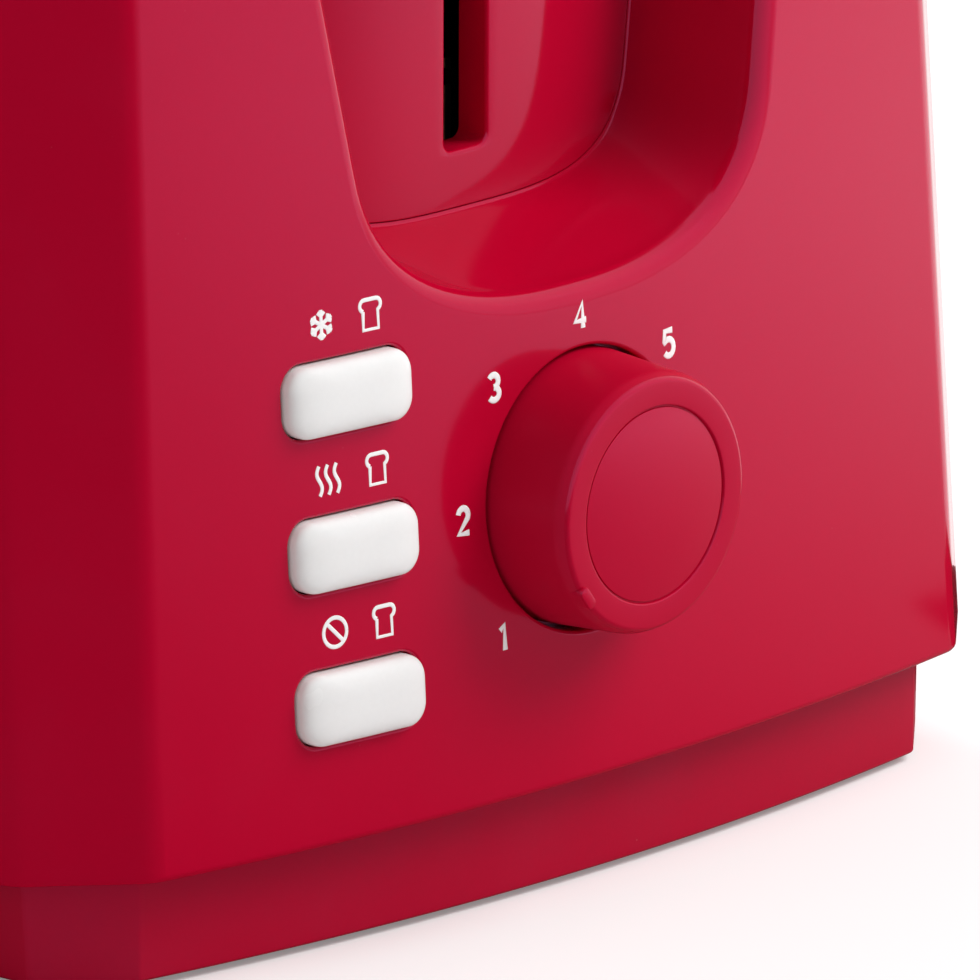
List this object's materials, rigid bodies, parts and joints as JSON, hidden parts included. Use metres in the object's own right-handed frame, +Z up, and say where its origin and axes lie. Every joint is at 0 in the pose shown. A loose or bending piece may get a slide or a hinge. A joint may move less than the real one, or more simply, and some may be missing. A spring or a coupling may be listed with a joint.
{
  "type": "pop-up toaster",
  "caption": "Pop-up toaster with long bread slots, a lever in a thumb recess at its control end, a browning knob, push buttons and a rear crumb tray.",
  "frame": {"origin": "on the surface that the feet stand on, under the middle of the toaster's length, knob included, and width", "axes": "+Z up, -Y towards the control end with the lever and the knob, bread slots along Y"},
  "size_m": [0.18, 0.2797, 0.19],
  "materials": {
    "shell": "glossy, moulded",
    "button": "satin, slightly translucent",
    "steel": "bare sheet and wire",
    "tray": "bare sheet",
    "mica": "matt mica board",
    "rubber": "matt",
    "board": "laminate with varnish",
    "dark": "satin"
  },
  "bodies": {
    "body": {"housing": "shell", "base_plinth": "shell", "lever_panel": "shell", "front_plate": "steel", "rear_plate": "steel", "side_reflector_left": "steel", "side_reflector_right": "steel", "heater_board_left": "mica", "heater_board_centre": "mica", "heater_board_right": "mica", "heater_wire_left": "steel", "heater_wire_centre": "steel", "heater_wire_right": "steel", "guide_rod": "steel", "lift_spring": "steel", "electromagnet": "dark", "control_board": "board", "board_screw_1": "steel", "board_screw_2": "steel", "potentiometer": "steel", "defrost_switch": "dark", "reheat_switch": "dark", "cancel_switch": "dark", "contact_block": "dark", "terminal_block": "button", "cord_gland": "dark", "foot_left_front": "rubber", "foot_right_front": "rubber", "foot_left_rear": "rubber", "foot_right_rear": "rubber", "base_screw_left_front": "steel", "base_screw_right_front": "steel", "base_screw_left_rear": "steel", "base_screw_right_rear": "steel", "panel_screw_left": "steel", "panel_screw_right": "steel"},
    "lever": {"carriage": "steel", "lever_handle": "shell", "armature": "steel", "bread_rack_left": "steel", "bread_rack_right": "steel"},
    "knob": {"browning_knob": "shell", "pot_shaft": "steel"},
    "defrost": {"defrost_button": "button"},
    "reheat": {"reheat_button": "button"},
    "cancel": {"cancel_button": "button"},
    "tray": {"crumb_tray": "tray"},
    "guard_left_outer": {"bread_guard_left_outer": "steel"},
    "guard_left_inner": {"bread_guard_left_inner": "steel"},
    "guard_right_inner": {"bread_guard_right_inner": "steel"},
    "guard_right_outer": {"bread_guard_right_outer": "steel"}
  },
  "joints": [
    {"name": "lever_slide", "type": "slide", "parent": "body", "child": "lever", "axis": [0, 0, 1], "range_m": [-0.055, 0], "stiffness_N_per_m": 100, "springref_m": 0.03, "deforming": ["lift_spring"]},
    {"name": "knob_turn", "type": "hinge", "parent": "body", "child": "knob", "pos_m": [0, -0.12504, 0.052], "axis": [0, 1, 0], "range_deg": [0, 180]},
    {"name": "defrost_press", "type": "slide", "parent": "body", "child": "defrost", "axis": [0, 1, 0], "range_m": [0, 0.0015], "stiffness_N_per_m": 600, "springref_m": -0.001},
    {"name": "reheat_press", "type": "slide", "parent": "body", "child": "reheat", "axis": [0, 1, 0], "range_m": [0, 0.0015], "stiffness_N_per_m": 600, "springref_m": -0.001},
    {"name": "cancel_press", "type": "slide", "parent": "body", "child": "cancel", "axis": [0, 1, 0], "range_m": [0, 0.0015], "stiffness_N_per_m": 600, "springref_m": -0.001},
    {"name": "tray_slide", "type": "slide", "parent": "body", "child": "tray", "axis": [0, 1, 0], "range_m": [0, 0.217]},
    {"name": "guard_left_outer_turn", "type": "hinge", "parent": "body", "child": "guard_left_outer", "pos_m": [-0.043, 0.00634, 0.034], "axis": [0, 1, 0], "range_deg": [0, 5]},
    {"name": "guard_left_inner_turn", "type": "hinge", "parent": "body", "child": "guard_left_inner", "pos_m": [-0.011, 0.00634, 0.034], "axis": [0, 1, 0], "range_deg": [-5, 0]},
    {"name": "guard_right_inner_turn", "type": "hinge", "parent": "body", "child": "guard_right_inner", "pos_m": [0.011, 0.00634, 0.034], "axis": [0, 1, 0], "range_deg": [0, 5]},
    {"name": "guard_right_outer_turn", "type": "hinge", "parent": "body", "child": "guard_right_outer", "pos_m": [0.043, 0.00634, 0.034], "axis": [0, 1, 0], "range_deg": [-5, 0]}
  ],
  "couplings": [
    {"joint": "guard_left_outer_turn", "follows": "lever_slide", "rad_per_m": -1.5866},
    {"joint": "guard_left_inner_turn", "follows": "lever_slide", "rad_per_m": 1.5866},
    {"joint": "guard_right_inner_turn", "follows": "lever_slide", "rad_per_m": -1.5866},
    {"joint": "guard_right_outer_turn", "follows": "lever_slide", "rad_per_m": 1.5866}
  ]
}
